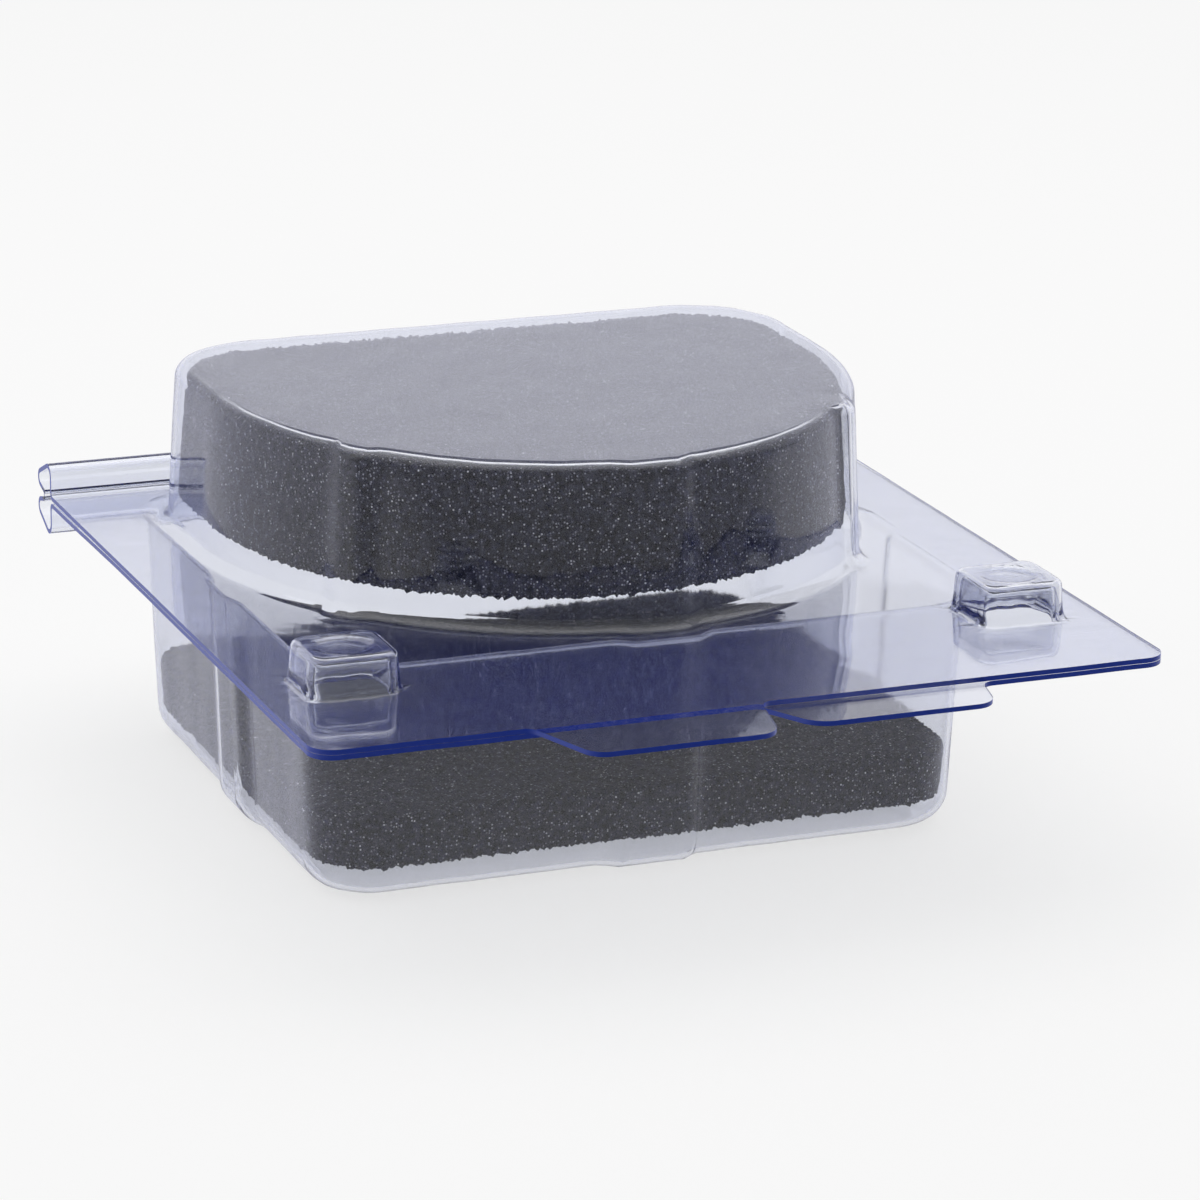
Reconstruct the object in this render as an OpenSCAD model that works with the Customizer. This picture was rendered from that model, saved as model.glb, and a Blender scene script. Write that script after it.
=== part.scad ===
// Hinged denture box: a square tray and a domed lid, formed from clear plastic sheet,
// with a foam pad in each half. Millimetres, +Z up, front towards -Y.
// The origin is the middle of the face that the tray rests on.

/* [Sheet] */
// Thickness of the formed sheet
sheet_t = 0.5; // [0.4:0.1:0.8]
// Gap between the two flanges of the closed box
parting_gap = 0.3; // [0.2:0.1:0.6]
// Radius where a wall turns out into its flange
mouth_r = 0.9; // [0.5:0.1:1]

/* [Flanges] */
// Width of the flanges, side to side
flange_w = 90; // [88:1:110]
// Hinge crease to the front edge of the flanges
flange_l = 93.5; // [93:0.5:110]
// Radius of the two front corners
flange_corner_r = 2.5; // [2:0.5:5]

/* [Tray] */
// Width of the tray at its mouth
tray_w = 73.4; // [66:0.2:76]
// Length of the tray at its mouth
tray_l = 65; // [58:0.2:65.4]
// Hinge crease to the back wall of the tray
tray_back = 4.4; // [4.2:0.1:6]
// Height of the tray, resting face to the plane between the flanges
tray_depth = 25.3; // [18:0.1:36]
// How far each wall leans in from the mouth to the floor
tray_draft = 1.1; // [0.6:0.1:2.4]
// Radius of the upright corners at the mouth
tray_corner_r = 8; // [6.5:0.5:12]
// Radius between the walls and the floor, outside
tray_floor_r = 3.5; // [2:0.1:4]

/* [Tray ribs] */
// Width of the upright rib on each side wall
side_rib_w = 12; // [8:0.5:18]
// How far the side ribs stand out
side_rib_h = 0.8; // [0.4:0.1:1.2]
// How far the side ribs lie in front of the middle of the tray
side_rib_front = 2.7; // [0:0.1:6]
// Width of the long sloping flank on each side of a side rib
side_rib_flank = 3.2; // [2:0.1:3.6]
// Width of the upright rib on the front wall
front_rib_w = 10.6; // [8:0.2:16]
// How far the front rib stands out
front_rib_h = 1.3; // [0.6:0.1:1.5]
// Width of the sloping flank on each side of the other ribs
rib_flank = 1.8; // [1.2:0.1:2.2]

/* [Dome] */
// Width of the dome at its foot
dome_w = 72.2; // [66:0.2:76]
// Height of the dome above the plane between the flanges
dome_h = 18.1; // [14:0.1:26]
// Hinge crease to the back wall of the dome at its foot
dome_back = 6.7; // [5.5:0.1:7.5]
// Length of the straight sides, back wall to the start of the round front
dome_side_l = 21.6; // [18:0.2:23]
// Length of the round front, which is half an ellipse
dome_front_l = 40; // [34:0.2:41]
// How far the wall leans in from the foot to the top
dome_draft = 1; // [0.6:0.1:2.2]
// Radius of the two back corners at the foot
dome_corner_r = 12; // [7:0.5:13]
// Radius of the top edge, outside
dome_edge_r = 2; // [1.4:0.2:3]
// How far the upright ribs of the dome stand out
dome_rib_h = 0.8; // [0.4:0.1:1]
// Width of the rib at the middle of the front
dome_mid_rib_w = 9; // [6:0.5:12]
// Width of the two ribs beside it
dome_side_rib_w = 6; // [5:0.5:8]
// Direction of those two ribs on the ellipse, degrees from straight ahead
dome_side_rib_turn = 51; // [44:1:56]

/* [Snap bosses] */
// Width of a lid boss at its foot
boss_w = 9.2; // [7:0.2:10]
// Length of a lid boss at its foot, front to back
boss_l = 8.4; // [7:0.1:8.5]
// Height of a lid boss above its flange
boss_h = 4.3; // [3:0.1:6]
// Side edge of the flange to the boss
boss_side = 4.5; // [4:0.1:7]
// Front edge of the flange to the boss
boss_front = 14.2; // [12:0.1:14.4]
// Radius of the upright corners of a boss
boss_corner_r = 1.9; // [1.7:0.1:2.4]
// Radius of the top edge of a boss
boss_edge_r = 1; // [0.9:0.1:1.2]
// How far the walls of a boss lean in
boss_draft = 0.3; // [0.1:0.05:0.5]
// Clearance between the walls of a lid boss and the tray boss inside it
boss_gap = 0.2; // [0.1:0.05:0.3]
// Clearance between their tops
boss_top_gap = 0.6; // [0.5:0.1:1]
// Depth of the round dip in the top of a boss
boss_dip_h = 0.4; // [0.2:0.1:0.5]
// Wall of the lid boss to the round bottom of that dip
boss_dip_in = 2.8; // [2.6:0.1:3]

/* [Opening tabs] */
// Width of a tab at its root
tab_w = 23.8; // [18:0.2:30]
// How far a tab stands out in front of the flange
tab_l = 8.2; // [6:0.2:11]
// Slant of the left flank of a tab
tab_left_slant = 3.4; // [1.5:0.1:4]
// Slant of the right flank of a tab
tab_right_slant = 1.4; // [0.5:0.1:2.5]
// Radius of the front corners of a tab
tab_corner_r = 2.4; // [1:0.2:3]
// Radius at the root of a tab
tab_root_r = 1.4; // [0.6:0.2:2]
// Where the two tabs meet, right of the middle
tab_split_x = 0.5; // [-6:0.5:6]

/* [Hinge beads] */
// Crease to the upright inner leg of a bead
bead_leg_l = 2.5; // [2.2:0.1:2.7]
// Height of the sharp outline of a bead above the parting plane
bead_peak_h = 4.3; // [3.6:0.1:5.5]
// How far the sharp outline of a bead runs out behind the crease
bead_tip_l = 4; // [3:0.1:5]
// Height of that tip above the parting plane
bead_tip_h = 1.4; // [1:0.1:1.8]
// Radius of the fold at the top of a bead
bead_peak_r = 1.1; // [0.8:0.1:1.3]
// Radius of the fold at the tip of a bead
bead_tip_r = 0.8; // [0.6:0.1:1]
// Radius at the foot of a bead, where the flange turns up into it
bead_foot_r = 0.6; // [0.5:0.05:0.7]

/* [Foam pads] */
// Thickness of the pad in the tray
base_pad_t = 6.4; // [4:0.2:10]
// Thickness of the pad in the dome
lid_pad_t = 13.5; // [8:0.5:13.5]
// Clearance between a pad and the walls round it
pad_gap = 0.2; // [0.1:0.05:0.3]

/* [Hidden] */
quarter_turn = 90;
// Overlap of solids that are fused, and run-out of cuts past a face
fuse = 0.2;
run_out = 1;
// Steps of a small edge radius, of a tight corner and of an upright corner
edge_steps = 4;
corner_steps = 5;
tray_corner_steps = 7;
// Degrees between the points of the dome's round front
front_step = 4;
// Points on each flank of a rib
flank_steps = 3;

crease_y = tray_l / 2 + tray_back;
front_y = crease_y - flange_l;
lid_flange_z = tray_depth + parting_gap / 2;
tray_flange_z = tray_depth - parting_gap / 2;
// Sheet centre line of a flange, measured from the parting plane
flange_mid = (parting_gap + sheet_t) / 2;
dome_top_z = tray_depth + dome_h;
dome_front_y = crease_y - dome_back - dome_side_l;
// The two bosses stand at the front corners
boss_x = flange_w / 2 - boss_side - boss_w / 2;
boss_y = front_y + boss_front + boss_l / 2;
// The tray boss ends one clearance below the inside of the lid boss
tray_boss_h = boss_h + parting_gap - boss_top_gap;
// The flange plates end just in front of the bead's foot
bead_start = bead_leg_l + bead_foot_r;
shell_tint = [0.66, 0.71, 0.86, 0.55];
foam_tint = [0.22, 0.22, 0.24];

// Points of an arc that replaces the corner b of the path a-b-c
function unit(v) = v / norm(v);
function turned(v, a) = [v[0] * cos(a) - v[1] * sin(a), v[0] * sin(a) + v[1] * cos(a)];
function corner_arc(a, b, c, r, steps) =
    r <= 0 ? [b] :
    let (
        u = unit(a - b),
        w = unit(c - b),
        half = acos(u * w) / 2,
        centre = b + unit(u + w) * r / sin(half),
        first = b + u * r / tan(half) - centre,
        side = u[0] * w[1] - u[1] * w[0] > 0 ? -1 : 1,
        sweep = side * (180 - 2 * half)
    )
    [for (k = [0:steps]) centre + turned(first, sweep * k / steps)];

// A closed outline with its corners rounded; each corner is [x, y, radius]
function rounded_outline(corners, steps) =
    let (n = len(corners), at = [for (p = corners) [p[0], p[1]]])
    [for (i = [0:n - 1])
        each corner_arc(at[(i + n - 1) % n], at[i], at[(i + 1) % n], corners[i][2], steps)];

// An open path with its inner corners rounded, in the same form
function rounded_path(corners, steps) =
    let (n = len(corners), at = [for (p = corners) [p[0], p[1]]])
    concat([at[0]],
        [for (i = [1:n - 2]) each corner_arc(at[i - 1], at[i], at[i + 1], corners[i][2], steps)],
        [at[n - 1]]);

// The outline of a sheet of thickness t that follows an open path
function path_normal(path, i) =
    let (
        n = len(path),
        back = unit(path[max(i, 1)] - path[max(i, 1) - 1]),
        ahead = unit(path[min(i, n - 2) + 1] - path[min(i, n - 2)]),
        mean = unit(back + ahead)
    )
    [-mean[1], mean[0]] / (mean * ahead);
function sheet_outline(path, t) =
    let (n = len(path))
    concat(
        [for (i = [0:n - 1]) path[i] + path_normal(path, i) * t / 2],
        [for (i = [n - 1:-1:0]) path[i] - path_normal(path, i) * t / 2]);

// Places along a rib and how far each stands out, from one flank to the other
function rise(t) = t * t * (3 - 2 * t);
function rib_profile(w, h, flank) =
    concat(
        [for (k = [0:flank_steps]) [-w / 2 + flank * k / flank_steps, h * rise(k / flank_steps)]],
        [for (k = [flank_steps:-1:0]) [w / 2 - flank * k / flank_steps, h * rise(k / flank_steps)]]);

// Arc of an upright corner, counter-clockwise from the direction start
function upright_corner(x, y, r, start, steps) =
    [for (k = [0:steps]) let (a = start + quarter_turn * k / steps) [x + r * cos(a), y + r * sin(a)]];

// Outline of the tray wall, moved in by inset; ribs are 1 with ribs and 0 without
function tray_outline(inset, ribs = 1) =
    let (
        a = tray_w / 2 - inset,
        b = tray_l / 2 - inset,
        r = max(tray_corner_r - inset, mouth_r),
        side_rib = rib_profile(side_rib_w, side_rib_h * ribs, side_rib_flank),
        front_rib = rib_profile(front_rib_w, front_rib_h * ribs, rib_flank)
    )
    concat(
        [for (p = side_rib) [a + p[1], p[0] - side_rib_front]],
        upright_corner(a - r, b - r, r, 0, tray_corner_steps),
        upright_corner(r - a, b - r, r, quarter_turn, tray_corner_steps),
        [for (p = side_rib) [-a - p[1], -p[0] - side_rib_front]],
        upright_corner(r - a, r - b, r, 2 * quarter_turn, tray_corner_steps),
        [for (p = front_rib) [p[0], -b - p[1]]],
        upright_corner(a - r, r - b, r, 3 * quarter_turn, tray_corner_steps));

// How far the dome's round front stands out at the direction turn, in its ribs
function rib_rise(along, w) = rise(min(1, max(0, (w / 2 - abs(along)) / rib_flank)));
function dome_rib(turn) =
    let (
        mid = rib_rise((dome_w / 2) * sin(turn), dome_mid_rib_w),
        beside = (dome_w / 2) * (abs(turn) - dome_side_rib_turn) * PI / 180
    )
    dome_rib_h * max(mid, rib_rise(beside, dome_side_rib_w));
function front_point(turn, a, b, out) =
    let (n = unit([sin(turn) * b, -cos(turn) * a]))
    [a * sin(turn), dome_front_y - b * cos(turn)] + n * out;

// Outline of the dome wall, moved in by inset: two back corners and the round front
function dome_outline(inset, ribs = 1) =
    let (
        a = dome_w / 2 - inset,
        b = dome_front_l - inset,
        back = crease_y - dome_back - inset,
        r = dome_corner_r - inset
    )
    concat(
        upright_corner(a - r, back - r, r, 0, tray_corner_steps),
        upright_corner(r - a, back - r, r, quarter_turn, tray_corner_steps),
        [for (turn = [-quarter_turn + front_step / 2:front_step:quarter_turn])
            front_point(turn, a, b, dome_rib(turn) * ribs)]);

// Outline of a boss, moved in by inset, with the upright corners of a boss whose radius is corner_r
function boss_outline(inset, corner_r = boss_corner_r) =
    let (
        a = boss_w / 2 - inset,
        b = boss_l / 2 - inset,
        r = min(max(corner_r - inset, boss_gap), a, b)
    )
    concat(
        upright_corner(a - r, b - r, r, 0, corner_steps),
        upright_corner(r - a, b - r, r, quarter_turn, corner_steps),
        upright_corner(r - a, r - b, r, 2 * quarter_turn, corner_steps),
        upright_corner(a - r, r - b, r, 3 * quarter_turn, corner_steps));

// Inset and height of the outside of a drawn cup of height h, floor first, up to its flange
function outer_levels(h, draft, floor_r, mouth) =
    let (lean = draft / h)
    concat(
        [for (k = [0:edge_steps]) let (a = quarter_turn * k / edge_steps)
            [draft - lean * floor_r + floor_r * (1 - sin(a)), floor_r * (1 - cos(a))]],
        [for (k = [0:edge_steps]) let (a = quarter_turn * k / edge_steps)
            [lean * mouth - mouth * (1 - cos(a)), h - mouth + mouth * sin(a)]],
        [[lean * mouth - mouth, h + sheet_t / 2]]);

// The same for the inside of the cup, one sheet thickness in
function inner_levels(h, draft, floor_r, mouth) =
    let (
        lean = draft / h,
        inner_r = floor_r - sheet_t,
        outer_mouth = mouth + sheet_t
    )
    concat(
        [for (k = [0:edge_steps]) let (a = quarter_turn * k / edge_steps)
            [draft - lean * floor_r + sheet_t + inner_r * (1 - sin(a)), floor_r - inner_r * cos(a)]],
        [for (k = [0:edge_steps]) let (a = quarter_turn * k / edge_steps)
            [lean * mouth - mouth + outer_mouth * cos(a), h - mouth + outer_mouth * sin(a)]],
        [[lean * mouth - mouth, h + sheet_t + run_out]]);

// A closed solid through rings of the same number of points, lowest ring first;
// each end is closed by a fan of triangles round the middle of its ring
function ring(outline, z) = [for (p = outline) [p[0], p[1], z]];
function middle(points) = [for (p = points) 1] * points / len(points);
module loft(rings) {
    n = len(rings[0]);
    m = len(rings);
    sides = [for (k = [0:m - 2], i = [0:n - 1])
        let (here = k * n + i, next = k * n + (i + 1) % n)
        each [[here, here + n, next + n], [here, next + n, next]]];
    bottom = [for (i = [0:n - 1]) [m * n, i, (i + 1) % n]];
    top = [for (i = [0:n - 1]) [m * n + 1, (m - 1) * n + (i + 1) % n, (m - 1) * n + i]];
    polyhedron(
        points = concat([for (r = rings) each r], [middle(rings[0]), middle(rings[m - 1])]),
        faces = concat(sides, bottom, top));
}

// The corners of a tab, from its left root to its right root
function tab_corners(left) =
    [[left, front_y, tab_root_r],
     [left + tab_left_slant, front_y - tab_l, tab_corner_r],
     [left + tab_w - tab_right_slant, front_y - tab_l, tab_corner_r],
     [left + tab_w, front_y, tab_root_r]];

// The flange, from the foot of the bead to the front edge, with its tab
module flange_plate(tab_left) {
    back = crease_y - bead_start;
    corners = concat(
        [[flange_w / 2, back, 0], [-flange_w / 2, back, 0], [-flange_w / 2, front_y, flange_corner_r]],
        tab_corners(tab_left),
        [[flange_w / 2, front_y, flange_corner_r]]);
    linear_extrude(sheet_t) polygon(rounded_outline(corners, corner_steps));
}

// The bead folded along the hinge, from its foot over the top and back to the crease
bead_path = rounded_path(
    [[-bead_start - fuse, flange_mid, 0],
     [-bead_leg_l, flange_mid, bead_foot_r],
     [-bead_leg_l, bead_peak_h, bead_peak_r],
     [bead_tip_l, bead_tip_h, bead_tip_r],
     [0, flange_mid, 0]], corner_steps);
bead_section = sheet_outline(bead_path, sheet_t);
module hinge_bead() {
    translate([0, crease_y, tray_depth])
        rotate([quarter_turn, 0, quarter_turn])
            linear_extrude(flange_w, center = true) polygon(bead_section);
}

// The outside and the inside of a boss, turned so that its floor is its top;
// the dip starts inside the top edge and is round where it ends
module boss_solid(h, inset, levels) {
    dip = ring(boss_outline(boss_dip_in, boss_w), levels[0][1] + boss_dip_h);
    for (side = [-1, 1])
        translate([side * boss_x, boss_y, h])
            mirror([0, 0, 1])
                loft(concat([dip], [for (v = levels) ring(boss_outline(v[0] + inset), v[1])]));
}

module tray() {
    cup_h = tray_flange_z - sheet_t;
    boss_inset = sheet_t + boss_gap;
    top_edge_r = boss_edge_r - boss_gap;
    color(shell_tint)
    difference() {
        union() {
            translate([0, 0, cup_h]) flange_plate(tab_split_x);
            loft([for (v = outer_levels(cup_h, tray_draft, tray_floor_r, mouth_r))
                ring(tray_outline(v[0]), v[1])]);
            boss_solid(tray_flange_z + tray_boss_h, boss_inset,
                outer_levels(tray_boss_h, boss_draft, top_edge_r, boss_gap));
            translate([0, 0, 2 * tray_depth]) mirror([0, 0, 1]) hinge_bead();
        }
        loft([for (v = inner_levels(cup_h, tray_draft, tray_floor_r, mouth_r))
            ring(tray_outline(v[0]), v[1])]);
        boss_solid(tray_flange_z + tray_boss_h, boss_inset,
            inner_levels(tray_boss_h, boss_draft, top_edge_r, boss_gap));
    }
}

module lid() {
    cup_h = dome_top_z - lid_flange_z - sheet_t;
    boss_top = lid_flange_z + sheet_t + boss_h;
    color(shell_tint)
    difference() {
        union() {
            translate([0, 0, lid_flange_z]) flange_plate(tab_split_x - tab_w);
            translate([0, 0, dome_top_z]) mirror([0, 0, 1])
                loft([for (v = outer_levels(cup_h, dome_draft, dome_edge_r, mouth_r))
                    ring(dome_outline(v[0]), v[1])]);
            boss_solid(boss_top, 0, outer_levels(boss_h, boss_draft, boss_edge_r, boss_gap));
            hinge_bead();
        }
        translate([0, 0, dome_top_z]) mirror([0, 0, 1])
            loft([for (v = inner_levels(cup_h, dome_draft, dome_edge_r, mouth_r))
                ring(dome_outline(v[0]), v[1])]);
        boss_solid(boss_top, 0, inner_levels(boss_h, boss_draft, boss_edge_r, boss_gap));
    }
}

// The pad sits on the curve between the walls and the floor, which stops it above the floor
module base_foam_pad() {
    curve_r = tray_floor_r - sheet_t;
    seat = tray_floor_r - sqrt(pow(curve_r, 2) - pow(curve_r - pad_gap, 2));
    lean = tray_draft / (tray_flange_z - sheet_t);
    bottom_inset = tray_draft - lean * tray_floor_r + sheet_t + 2 * pad_gap;
    color(foam_tint)
    loft([
        ring(tray_outline(bottom_inset, 0), seat),
        ring(tray_outline(bottom_inset - lean * base_pad_t, 0), seat + base_pad_t)]);
}

// The pad fills the dome up to its top and follows the lean of its wall
module lid_foam_pad() {
    cup_h = dome_top_z - lid_flange_z - sheet_t;
    lean = dome_draft / cup_h;
    reach = sheet_t + pad_gap + lid_pad_t;
    top_levels = [for (v = inner_levels(cup_h, dome_draft, dome_edge_r, mouth_r))
        if (v[1] <= dome_edge_r) [v[0] + pad_gap, v[1] + pad_gap]];
    levels = concat(top_levels, [[dome_draft - lean * reach + sheet_t + pad_gap, reach]]);
    color(foam_tint)
    translate([0, 0, dome_top_z]) mirror([0, 0, 1])
        loft([for (v = levels) ring(dome_outline(v[0], 0), v[1])]);
}

tray();
lid();
base_foam_pad();
lid_foam_pad();
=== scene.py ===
"""Looks of the hinged denture box: two clear formed sheets, the fold between them and two foam pads."""
import math

import bmesh
import bpy
import numpy as np
from mathutils import Matrix, Vector
from mathutils.geometry import delaunay_2d_cdt


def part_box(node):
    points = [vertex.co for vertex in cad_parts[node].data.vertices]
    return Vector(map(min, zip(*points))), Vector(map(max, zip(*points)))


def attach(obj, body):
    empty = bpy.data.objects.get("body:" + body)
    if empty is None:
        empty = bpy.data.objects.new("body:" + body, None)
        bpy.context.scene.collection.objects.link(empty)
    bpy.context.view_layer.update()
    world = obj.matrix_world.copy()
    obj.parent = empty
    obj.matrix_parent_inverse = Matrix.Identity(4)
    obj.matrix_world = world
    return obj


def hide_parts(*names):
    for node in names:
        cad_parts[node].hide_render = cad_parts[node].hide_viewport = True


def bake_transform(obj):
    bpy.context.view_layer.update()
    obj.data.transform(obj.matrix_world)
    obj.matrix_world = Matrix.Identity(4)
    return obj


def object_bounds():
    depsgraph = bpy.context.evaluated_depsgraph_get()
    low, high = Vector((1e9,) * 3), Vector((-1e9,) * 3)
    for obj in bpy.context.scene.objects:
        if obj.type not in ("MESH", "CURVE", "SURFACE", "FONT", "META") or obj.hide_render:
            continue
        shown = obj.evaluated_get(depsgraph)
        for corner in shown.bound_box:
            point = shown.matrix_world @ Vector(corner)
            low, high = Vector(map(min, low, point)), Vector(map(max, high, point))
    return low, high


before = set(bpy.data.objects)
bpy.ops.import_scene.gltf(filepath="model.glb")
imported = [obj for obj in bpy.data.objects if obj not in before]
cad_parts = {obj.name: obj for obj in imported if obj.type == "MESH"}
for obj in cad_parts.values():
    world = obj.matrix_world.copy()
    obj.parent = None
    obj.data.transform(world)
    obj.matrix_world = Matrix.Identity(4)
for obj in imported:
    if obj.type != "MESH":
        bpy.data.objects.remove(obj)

cad_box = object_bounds()

MM = 0.001
BOX_LOW, BOX_HIGH = (np.array(tuple(corner)) / MM for corner in cad_box)
QUARTER = math.pi / 2

# Sheet, flanges and their corners, in millimetres
SHEET = 0.5
PARTING = 0.3
MOUTH_R, DOME_MOUTH_R = 0.9, 1.4
FLANGE_L = 93.5
FLANGE_CORNER_R = 2.5
# Tray
TRAY_W, TRAY_L, TRAY_BACK, TRAY_DEPTH = 73.4, 65.0, 4.4, 25.3
TRAY_DRAFT, TRAY_CORNER_R, TRAY_FLOOR_R = 1.1, 8.0, 3.5
SIDE_RIB = dict(width=12.0, height=0.8, flank=3.2)
SIDE_RIB_FRONT = 2.7
FRONT_RIB = dict(width=10.6, height=1.3)
RIB_FLANK = 1.8
# Dome
DOME_W, DOME_H, DOME_BACK = 72.2, 18.1, 6.7
DOME_SIDE_L, DOME_FRONT_L = 21.6, 40.0
DOME_DRAFT, DOME_CORNER_R, DOME_EDGE_R = 1.0, 12.0, 1.5
DOME_RIB_H, DOME_MID_RIB_W, DOME_SIDE_RIB_W = 0.8, 9.0, 6.0
DOME_SIDE_RIB_TURN = math.radians(51)
# Snap bosses
BOSS_W, BOSS_L, BOSS_H = 10.0, 9.4, 4.3
BOSS_SIDE, BOSS_FRONT = 4.1, 13.6
BOSS_CORNER_R, BOSS_EDGE_R, BOSS_MOUTH_R, BOSS_DRAFT = 2.2, 0.9, 0.35, 0.3
BOSS_LEAST_R = 0.15
BOSS_GAP, BOSS_TOP_GAP = 0.2, 0.6
BOSS_DIP_H, BOSS_DIP_R, BOSS_DIP_FLANK = 0.3, 3.2, 0.8
# How much thinner than the sheet a drawn boss is, from which height on, and over how long a rise
BOSS_THIN, BOSS_THIN_FROM, BOSS_THIN_RISE = 0.22, 0.3, 1.2
# Opening tabs
TAB_W, TAB_L, TAB_LEFT_SLANT, TAB_RIGHT_SLANT = 23.8, 8.2, 3.4, 1.4
TAB_CORNER_R, TAB_ROOT_R, TAB_SPLIT_X = 2.4, 1.4, 0.5
TRAY_TAB_L, TRAY_TAB_CORNER_R = 6.1, 3.4
# Hinge beads, measured from the crease and the parting plane
BEAD_LEG, BEAD_PEAK, BEAD_TIP, BEAD_TIP_H = 2.5, 4.3, 4.0, 1.4
BEAD_FOOT_R, BEAD_PEAK_R, BEAD_TIP_R = 0.6, 1.1, 0.8
# An edge lies along the crease where it is no more than this in front of it and this near in height
CREASE_MARGIN, CREASE_REACH = 0.05, 0.6
FOLD_T, FOLD_INSIDE, FOLD_BULGE = 0.25, 0.1, 0.3
# The tray's flange bows up to the lid's; the bow starts this far from the crease and is full after the run
FLANGE_BOW, BOW_START, BOW_RUN = 0.26, 5, 25
# The tray's wall takes part in the bow from this height up, over this rise
BOW_WALL_FROM, BOW_WALL_RISE = 12, 12
# How far the lid's tab is bent down, and where the bend starts behind the flange's front edge
TAB_DROOP, TAB_BEND_START, TAB_BEND_RUN = 0.25, 1, 1.3
# Foam pads: gap to the sheet, thickness, and slope of the lid pad's lower face, up towards the right
PAD_GAP = 0.2
BASE_PAD_T, LID_PAD_T = 6.4, 13.5
LID_PAD_SLANT = 0.016
# How much smaller the torn pads are than the room for them
BASE_PAD_RAISED, LID_PAD_LOWERED, LID_PAD_LONGER = 0.7, 0.45, 0.1
LID_PAD_TOP_IN, LID_PAD_FOOT_IN = 0.85, 0.6
BASE_PAD_EDGE_R, LID_PAD_EDGE_R = 0.2, 0.3
# Spacing of the points on flanges, cup floors, boss tops, beads and the pads' sides and faces
FLANGE_STEP, FLOOR_STEP, BOSS_TOP_STEP, BEAD_STEP = 1.2, 2.0, 0.36, 0.5
PAD_SIDE_STEP, PAD_FACE_STEP = 0.16, 1.4
# Waves left by forming: how far they reach, then the seed, size and count of each
FLANGE_WAVE_H, WALL_WAVE_H, CRINKLE_H = 0.016, 0.035, 0.05
FLANGE_WAVE, WALL_WAVE, FOOT_CRINKLE = (3, 9.0), (4, 5.0, 30), (5, 1.6, 40)
# The flange's waves end below this height; none start before this far from the crease, over this run
FLANGE_WAVE_TOP, WAVES_FROM_CREASE, WAVES_RUN = 1.6, 4, 3
# The crinkles round a boss: how near to its wall, up to which height, and over how long a rise they end
CRINKLE_NEAR, CRINKLE_TOP, CRINKLE_RISE = 1.4, 1.7, 1.2
# Foam surface: depth of the coarse and fine relief and of the torn cells, and how far in those reach
RELIEF_H, TORN_H, TORN_LIFT, TORN_REACH = 0.05, 0.2, 0.15, 0.6
# Sizes and counts of the waves that make up that relief
COARSE_SIZE, FINE_WAVES, TORN_WAVES = 7.0, (1.3, 40), (0.42, 60)
# Rows of points along a pad's rounded edge, as distances from its face
PAD_EDGE_ROWS = (0.0, 0.15, 0.3, 0.45, 0.65)

FLANGE_W = (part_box("tray")[1].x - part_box("tray")[0].x) / MM
CREASE_Y = TRAY_L / 2 + TRAY_BACK
FRONT_Y = CREASE_Y - FLANGE_L
LID_FLANGE_MID = TRAY_DEPTH + PARTING / 2 + SHEET / 2
TRAY_FLANGE_MID = TRAY_DEPTH - PARTING / 2 - SHEET / 2
DOME_TOP = TRAY_DEPTH + DOME_H
DOME_FRONT_Y = CREASE_Y - DOME_BACK - DOME_SIDE_L
BOSS_X = FLANGE_W / 2 - BOSS_SIDE - BOSS_W / 2
BOSS_Y = FRONT_Y + BOSS_FRONT + BOSS_L / 2
BEAD_START = BEAD_LEG + BEAD_FOOT_R


# Flat outlines, as arrays of points in millimetres

def corner_arc(a, b, c, radius, steps):
    """Points of an arc that replaces the corner b of the path a-b-c."""
    a, b, c = (np.array(p, float) for p in (a, b, c))
    if radius <= 0:
        return [b]
    u = (a - b) / np.linalg.norm(a - b)
    w = (c - b) / np.linalg.norm(c - b)
    half = math.acos(float(u @ w)) / 2
    mean = (u + w) / np.linalg.norm(u + w)
    centre = b + mean * radius / math.sin(half)
    first = b + u * radius / math.tan(half) - centre
    side = -1 if u[0] * w[1] - u[1] * w[0] > 0 else 1
    points = []
    for k in range(steps + 1):
        t = side * (math.pi - 2 * half) * k / steps
        turn = np.array([[math.cos(t), -math.sin(t)], [math.sin(t), math.cos(t)]])
        points.append(centre + turn @ first)
    return points


def rounded(corners, steps, closed):
    """A path with rounded corners; each corner is (x, y, radius)."""
    count = len(corners)
    points = []
    for i, (x, y, radius) in enumerate(corners):
        if not closed and i in (0, count - 1):
            points.append(np.array((x, y), float))
            continue
        before, after = corners[i - 1], corners[(i + 1) % count]
        points += corner_arc(before[:2], (x, y), after[:2], radius, steps)
    return np.array(points)


def spaced(points, spacing, closed):
    """The same path with points no more than spacing apart."""
    result = []
    last = len(points) if closed else len(points) - 1
    for i in range(last):
        a, b = points[i], points[(i + 1) % len(points)]
        parts = max(1, math.ceil(np.linalg.norm(b - a) / spacing))
        result += [a + (b - a) * k / parts for k in range(parts)]
    if not closed:
        result.append(points[-1])
    return np.array(result)


def smooth_rise(t):
    """Rises smoothly from 0 to 1 while t does."""
    t = np.clip(t, 0, 1)
    return t * t * (3 - 2 * t)


def rib(along, width, height, flank=RIB_FLANK):
    """How far a rib stands out at places along the wall, counted from its middle."""
    return height * smooth_rise((width / 2 - np.abs(along)) / flank)


def quarter_arc(x, y, radius, start, steps):
    """A quarter circle round (x, y) that starts at the angle start."""
    angles = start + QUARTER * np.arange(steps + 1) / steps
    return np.stack([x + radius * np.cos(angles), y + radius * np.sin(angles)], 1)


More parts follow.
